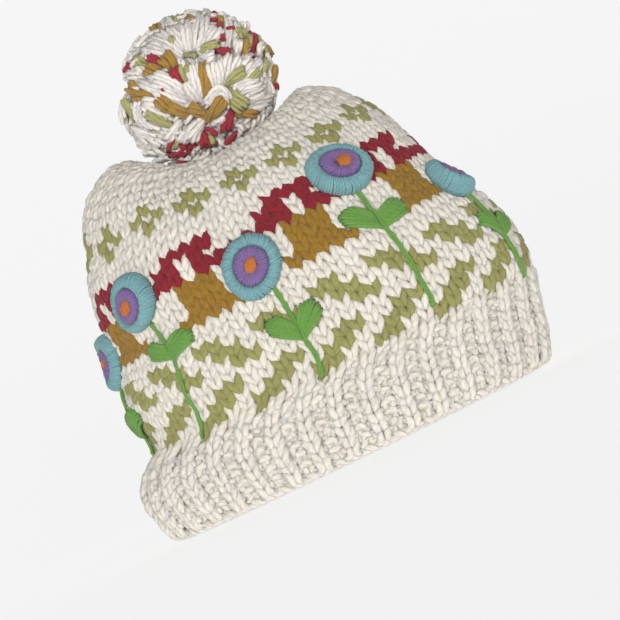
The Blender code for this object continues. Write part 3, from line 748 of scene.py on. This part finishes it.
def thread_ring(flower, trim, ring, name):
    """Buttonhole threads laid side by side over a padded ring."""

    def place(reach, angle, share, lift):
        """Places round the ring's middle, which drifts by a share."""
        return flower_place(flower, trim, reach * np.cos(angle) + trim.drift_front * share,
                            reach * np.sin(angle) + trim.drift_up * share, lift)

    strands = Strands()
    radii, lifts = np.array(ring.profile).T
    count = ring.threads
    drifting = np.clip((RING_RIM - radii) / (RING_RIM - RING_HOLE), 0, 1)
    angle = TURN * (np.arange(count) / count)[:, None] + vary(THREAD_UNEVEN.angle, count)
    angle = angle + ring.slant * (radii - radii.mean())
    reach = radii * (1 + LOBES.depth * np.sin(LOBES.count * angle + 1.0) + vary(THREAD_UNEVEN.reach, count))
    paths, out = place(reach, angle, drifting, lifts + vary(THREAD_UNEVEN.lift, count))
    middle = flower_place(flower, trim, trim.drift_front, trim.drift_up, 0.0)[0]
    side_on = unit(paths - middle) + out
    radius = ring.thread_radius * (1 + vary(THREAD_UNEVEN.radius, count))
    strands.sweep(paths, side_on, radius * MM, sides=6, tone=rng.uniform(0, 1, count))
    angle = TURN * np.arange(PAD.points) / PAD.points
    pad = []
    for r, high, share in zip(radii, lifts, drifting):
        inset = r - PAD.inset - (r - radii.mean()) / PAD.taper
        pad.append(place(inset, angle, share, high - PAD.depth)[0])
    bed = flower_place(flower, trim, trim.drift_front, trim.drift_up, lifts[-1] + PAD.bed)[0]
    pad.append(np.broadcast_to(bed, pad[-1].shape))
    # The pad under the threads takes the thread's darkest tone, painted shade where it shows between the
    # threads
    strands.grid(np.array(pad)[:, ::-1], tone=0.0)
    add_piece(strands, f"{name}_{ring.part}_threads", ring.yarn, f"{name}_{ring.part}_ring")


def eye_knot(flower, trim, name):
    """The flower's eye: a few thick satin stitches over a small pad."""
    strands = Strands()
    offsets = np.array(EYE.stitches)[:, None]
    count = len(offsets)
    share = np.linspace(-1, 1, 9)[None, :]
    reach = EYE.reach * np.sqrt(1 - (offsets / EYE.edge) ** 2)
    across = (offsets + EYE.slant * share * reach) * trim.eye_size
    forward = trim.drift_front + trim.eye_front + across
    up = trim.drift_up + trim.eye_up + share * reach * trim.eye_size
    lift = EYE.lift - EYE.crown * np.abs(offsets) - EYE.dip * share ** 4 + vary(EYE.uneven, count)
    paths, out = flower_place(flower, trim, forward, up, lift)
    strands.sweep(paths, out, EYE.radius * trim.eye_size * MM, tone=rng.uniform(0, 1, count))
    add_piece(strands, name + "_eye_threads", "orange", name + "_eye")


def stem_stops(flower):
    """How far up the side the stem's foot, joint and top are."""
    top = hat.at_height(flower.head_z) - STEM.clearance
    return hat.at_height(flower.foot_z), hat.at_height(flower.joint_z), top


def stem_turn(flower, along):
    """Where round the hat the stem is at a length up the side."""
    turns = (flower.foot_turn, flower.joint_turn, flower.top_turn)
    return np.interp(along, stem_stops(flower), turns)


def lay_stem(strands, flower):
    """The stem's two strands, from the brim to under the flower."""
    foot, _, top = stem_stops(flower)
    along = np.linspace(foot - STEM.foot, top, 46)
    turn = stem_turn(flower, along)
    for side in (-1, 1):
        offset = side * STEM.half_gap + STEM.sway * np.sin(along * STEM.sway_rate + side)
        lift = STEM.lift + STEM.over * side + STEM.rise * np.sin(along * STEM.rise_rate + 2 * side)
        lift[0] = lift[-1] = STEM.end_lift
        there = turn - offset / hat.length_round(along)
        paths, out = hat.point(there, along, lift)
        strands.sweep(paths[None], out[None], STEM.radius * MM, sides=8, tone=0.6)


def lay_leaf(strands, flower, size, side, degrees):
    """One leaf: a fan of long satin stitches on one side of the stem."""
    angle = math.radians(degrees)
    count = LEAF.strands
    share = np.linspace(0, 1, 10)[None, :]
    order = np.linspace(0, 1, count)[:, None]
    start_up = LEAF.foot + LEAF.spacing * order
    width = LEAF.half_width * size * (2 * order - 1) + vary(LEAF_UNEVEN.width, count)
    reach = LEAF.length - LEAF.rounding * (2 * order - 1) ** 2 + vary(LEAF_UNEVEN.reach, count)
    reach = reach * size
    end_out = reach * math.sin(angle) - width * math.cos(angle)
    end_up = reach * math.cos(angle) + width * math.sin(angle)
    forward = side * (LEAF.start + (end_out - LEAF.start) * share)
    up = start_up + (end_up - start_up) * share
    forward = forward + side * LEAF.bow * np.sin(np.pi * share) * (0.5 - order)
    lift = LEAF.lift + LEAF.arch * np.sin(np.pi * share * LEAF.arch_share)
    lift = lift + vary(LEAF_UNEVEN.lift, count)
    lift = np.where(share == 1, LEAF.end_lift, lift)
    lift = np.where(share == 0, LEAF.start_lift, lift)
    joint = hat.at_height(flower.joint_z)
    there_along = joint + up
    there_turn = stem_turn(flower, joint + start_up) - forward / hat.length_round(there_along)
    paths, out = hat.point(there_turn, there_along, lift)
    radii = (LEAF.radius + LEAF.swell * np.sin(np.pi * share)) * MM
    strands.sweep(paths, out, radii, tone=rng.uniform(0, 1, count))


def stem_and_leaves(flower, trim, name):
    """A stem, with a leaf to its front and one to its back."""
    strands = Strands()
    lay_stem(strands, flower)
    lay_leaf(strands, flower, trim.leaf_size, 1, flower.front_lean)
    lay_leaf(strands, flower, trim.leaf_size, -1, flower.back_lean)
    add_piece(strands, name + "_stem_and_leaf_threads", "green", name + "_stem_and_leaves")


def embroider():
    """All nine flowers."""
    for number, (flower, trim) in enumerate(zip(FLOWERS, TRIMS), start=1):
        name = f"flower_{number}"
        for ring in RINGS:
            thread_ring(flower, trim, ring, name)
        eye_knot(flower, trim, name)
        stem_and_leaves(flower, trim, name)


def lock_strands(wide, bends, hand):
    """Strands of a charted lock, two deep: sunk at the root and lifted towards the cut ends."""
    count = 2 * wide + 1
    order = np.arange(count)[:, None]
    share = np.linspace(0, 1, ENDS.points) * (1 + rng.uniform(*LOCK.cut, (count, 1)))
    flat = []
    for root, middle, tip in bends.T:
        control = 2 * middle - (root + tip) / 2
        flat.append((1 - share) ** 2 * root + 2 * share * (1 - share) * control + share ** 2 * tip)
    front, up = flat
    drop = LOCK.drop * np.clip((up - LOCK.drop_from) / (LOCK.drop_full - LOCK.drop_from), 0, 1)
    up = up - drop * np.sqrt(np.maximum(1 - front ** 2 - up ** 2, 0.0))
    reach = LOCK.root + (1 - LOCK.root) * np.sin(share * math.pi / 2) - LOCK.layer * (order % 2 == 0)
    side = np.sqrt(np.maximum(reach ** 2 - front ** 2 - up ** 2, 0.01))
    way = np.stack([hand * side, -front, up], axis=-1)
    across = unit(np.cross(np.gradient(way, axis=1), way))
    offset = (order / (count - 1) - 0.5) * (wide - LOCK.squeeze) * LOCK.pitch
    offset = offset * (LOCK.width + LOCK.flare * share)
    offset = offset + LOCK.sway * np.sin(TURN * share + rng.uniform(0, TURN, (count, 1)))
    return way + across * offset[..., None] + rng.normal(0, LOCK.uneven, (count, 1, 3)), across


def tuft_strands(head, parting, reach):
    """Strands of a tuft between the charted locks, bending away from the nearest parting."""

    def each(spread):
        """Departures from the rule, one for each strand of the tuft."""
        return rng.normal(0, spread, (TUFT.strands, 1, 1))

    share = np.linspace(0, 1, ENDS.points - 1)[:, None]
    lean = head - parting * (head @ parting) + rng.normal(0, TUFT_UNEVEN.lean, 3)
    lean = unit(lean - head * (lean @ head))
    across = np.cross(head, lean)
    bend = rng.uniform(*TUFT.bend) + each(TUFT_UNEVEN.bend)
    spread = np.linspace(-1, 1, TUFT.strands)[:, None, None] + each(TUFT_UNEVEN.across)
    curl = rng.normal(0, TUFT_UNEVEN.curl) + each(TUFT_UNEVEN.strand_curl)
    start = head * TUFT.root + rng.normal(0, TUFT_UNEVEN.root, (TUFT.strands, 1, 3))
    way = start + across * (spread * (TUFT.width + TUFT.flare * share) + curl * share ** 2)
    way = way + lean * (bend * share ** TUFT.bow - TUFT.back)
    ends = reach + each(TUFT_UNEVEN.end)
    reach = TUFT.depth + (ends - TUFT.depth) * (1 - (1 - share) ** TUFT.climb)
    return unit(way) * reach, across + 0.01


def ball_places(shares, above=0.0):
    """Places in metres from shares of the pompom's size, none lower than so far above its foot."""
    places = POMPOM_CENTRE + shares * POMPOM_SIZE
    places[..., 2] = np.maximum(places[..., 2], POMPOM_FOOT + above)
    return (places + hat.shift) * MM


def lay_ends(strands, way, side_on):
    """Lay yarn ends, given as shares of the pompom's size."""
    count, points = way.shape[:2]
    paths = ball_places(way, ENDS.radius)
    taper = np.sqrt(1 - ENDS.taper * np.linspace(0, 1, points) ** ENDS.sharpness)
    radii = ENDS.radius * taper * rng.uniform(*ENDS.radii, (count, 1)) * MM
    strands.sweep(paths, np.broadcast_to(side_on, way.shape), radii, sides=6,
                  tone=rng.uniform(0, 1, count))


def make_pompom():
    """The pompom: charted locks on both sides over tufts that burst from the tie."""
    gathered = {key: Strands() for key in YARNS.values()}
    for key, rows in LOCKS.items():
        for wide, *hundredths in rows:
            bends = np.reshape(hundredths, (3, 2)) / 100
            for hand in (-1, 1):
                lay_ends(gathered[key], *lock_strands(wide, bends, hand))
    golden = math.pi * (3 - math.sqrt(5))
    order = np.arange(TUFTS)
    height = 1 - 2 * (order + 0.5) / TUFTS
    flat = np.sqrt(1 - height ** 2)
    heads = np.stack([flat * np.cos(golden * order), flat * np.sin(golden * order), height], axis=-1)
    heads = unit(heads + rng.normal(0, TUFT_UNEVEN.head, heads.shape))
    partings = unit(np.array(PARTINGS))
    keys = rng.choice(list(TUFT_COLOURS), TUFTS, p=list(TUFT_COLOURS.values()))
    for head, key in zip(heads, keys):
        between = np.clip((TUFT.side - abs(head[0])) / TUFT.fade, 0, 1)
        reach = TUFT.reach + TUFT.rise * between + rng.uniform(*TUFT.cut)
        parting = partings[np.argmax(partings @ head)]
        dyed = between > 0 and head[2] > TUFT.dyed_slope * max(head[1], 0.0)
        lay_ends(gathered[key if dyed else "cream"], *tuft_strands(head, parting, reach))
    for key, strands in gathered.items():
        # The yarn ends take the lighter pompom colours, which are painted light
        add_piece(strands, f"pompom_{key}_yarn", "cut_" + key, "pompom")


def level_rings(levels, count):
    """Level rings of so many points each, from their radii and heights."""
    angle = TURN * np.arange(count) / count
    return np.array([np.stack([radius * np.cos(angle), radius * np.sin(angle), np.full(count, z)], axis=-1)
                     for radius, z in levels])


def make_pompom_core():
    """A plain ball that closes the gaps between the yarn ends."""
    strands = Strands()
    leans = np.linspace(CORE.cap, math.pi - CORE.cap, CORE.rings)
    ball = level_rings([(math.sin(lean), -math.cos(lean)) for lean in leans], CORE.round)
    strands.grid(ball_places(ball * CORE.share))
    add_piece(strands, "pompom_core", "core", "pompom")


# The tie's stem and knot, by radius and height, and the yarn wound round them, in millimetres
TIE_LEVELS = [(0.1, 157.2), (8.0, 157.2), (8.0, 161.0), (4.0, 162.0), (4.0, 168.0), (0.1, 168.0)]
WINDING = Sizes(top=168.0, foot=158.5, pitch=3.0, reach=3.8, flare=3.4, flare_top=162.0, flare_height=2.0,
                radius=1.8, points=120)


def make_tie():
    """The yarn that ties the pompom on, wound round its stem and knotted inside the crown."""
    strands = Strands()
    centre = np.array([0.0, -TIE_FORWARD, 0.0]) + hat.shift
    height = np.linspace(WINDING.top, WINDING.foot, WINDING.points)
    wind = TURN * (WINDING.top - height) / WINDING.pitch
    flare = np.clip((WINDING.flare_top - height) / WINDING.flare_height, 0, 1)
    reach = WINDING.reach + WINDING.flare * flare
    path = centre + np.stack([reach * np.cos(wind), reach * np.sin(wind), height], axis=-1)
    side_on = np.stack([np.cos(wind), np.sin(wind), 0 * wind], axis=-1)
    strands.sweep(path[None] * MM, side_on[None], WINDING.radius * MM, sides=8)
    strands.grid((level_rings(TIE_LEVELS, 16) + centre) * MM)
    add_piece(strands, "pompom_tie_yarn", "cream", "pompom_tie")


CAMERA_DISTANCE = 1.4
CAMERA_HEIGHT = 0.040
PHOTO_ROLL = math.radians(25.75)
AIM = Vector((0.0, -0.0074, 0.0784))
VIEW_WIDTH = 0.3174


def add_camera():
    """The camera at the photographed angle: level with the rim, and rolled as the hat is worn."""
    shift = Vector(hat.shift * MM)
    place = Vector((-CAMERA_DISTANCE, 0.0, CAMERA_HEIGHT)) + shift
    ahead = (AIM + shift - place).normalized()
    level_right = ahead.cross(Vector((0, 0, 1))).normalized()
    level_up = level_right.cross(ahead)
    right = level_right * math.cos(PHOTO_ROLL) - level_up * math.sin(PHOTO_ROLL)
    up = level_right * math.sin(PHOTO_ROLL) + level_up * math.cos(PHOTO_ROLL)
    data = bpy.data.cameras.new("camera")
    data.sensor_width = 36.0
    data.lens = 36.0 * CAMERA_DISTANCE / VIEW_WIDTH
    data.clip_start = 0.05
    data.clip_end = 20.0
    camera = bpy.data.objects.new("camera", data)
    axes = Matrix((right, up, -ahead)).transposed()
    camera.matrix_world = Matrix.Translation(place) @ axes.to_4x4()
    bpy.context.scene.collection.objects.link(camera)
    bpy.context.scene.camera = camera


def add_light(name, place, width, height, power):
    """A large soft light aimed at the hat."""
    data = bpy.data.lights.new(name, "AREA")
    data.shape = "RECTANGLE"
    data.size = width
    data.size_y = height
    data.energy = power
    light = bpy.data.objects.new(name, data)
    light.location = place
    light.visible_camera = False
    light.rotation_euler = (LIGHT_TARGET - Vector(place)).to_track_quat("-Z", "Y").to_euler()
    bpy.context.scene.collection.objects.link(light)
    return light


# The floor, in metres: where it starts and bends up, the bend's radius, and half the width
FLOOR = Sizes(near=-6.0, far=0.8, bend=2.5, half_width=7.0)
DAYLIGHT = 0.18
LIGHT_TARGET = Vector((0.0, 0.0, 0.1))


def add_stage():
    """A pale floor that curves up into a backdrop, with soft light."""
    profile = [(FLOOR.near, 0.0), (-0.5, 0.0), (FLOOR.far, 0.0)]
    profile += [(FLOOR.far + FLOOR.bend * math.sin(a), FLOOR.bend - FLOOR.bend * math.cos(a))
                for a in np.linspace(0.04, 1.5, 36)]
    wall = FLOOR.far + FLOOR.bend
    profile += [(wall, FLOOR.bend), (wall, 2.5 * FLOOR.bend)]
    across = np.linspace(-FLOOR.half_width, FLOOR.half_width, 9)
    places = np.array([[(x, y, z) for y in across] for x, z in profile])
    strands = Strands()
    strands.grid(places[:, ::-1], wrap_columns=False)
    look = Nodes("pale_floor")
    look.feed(look.shader, {
        "Base Color": (0.25, 0.25, 0.25, 1.0),
        "Roughness": 0.9,
        "Emission Color": (1.0, 1.0, 1.0, 1.0),
        "Emission Strength": 0.765,
        "Specular IOR Level": 0.1,
    })
    strands.build("floor", look.material)
    world = bpy.data.worlds.new("soft_daylight")
    world.use_nodes = True
    sky = world.node_tree.nodes["Background"]
    sky.inputs["Color"].default_value = (0.99, 0.99, 1.0, 1.0)
    sky.inputs["Strength"].default_value = DAYLIGHT
    bpy.context.scene.world = world
    add_light("key", place=(-5.3, 0.3, 0.22), width=3.6, height=0.4, power=280.0)
    fill = add_light("far_fill", place=(1.7, 0.0, 0.45), width=1.4, height=0.4, power=14.0)
    fill.light_linking.receiver_collection = hat_pieces
    bpy.context.scene.view_settings.view_transform = "Standard"


add_camera()
add_stage()
knit_brim()
knit_crown()
line_hat()
embroider()
make_pompom()
make_pompom_core()
make_tie()
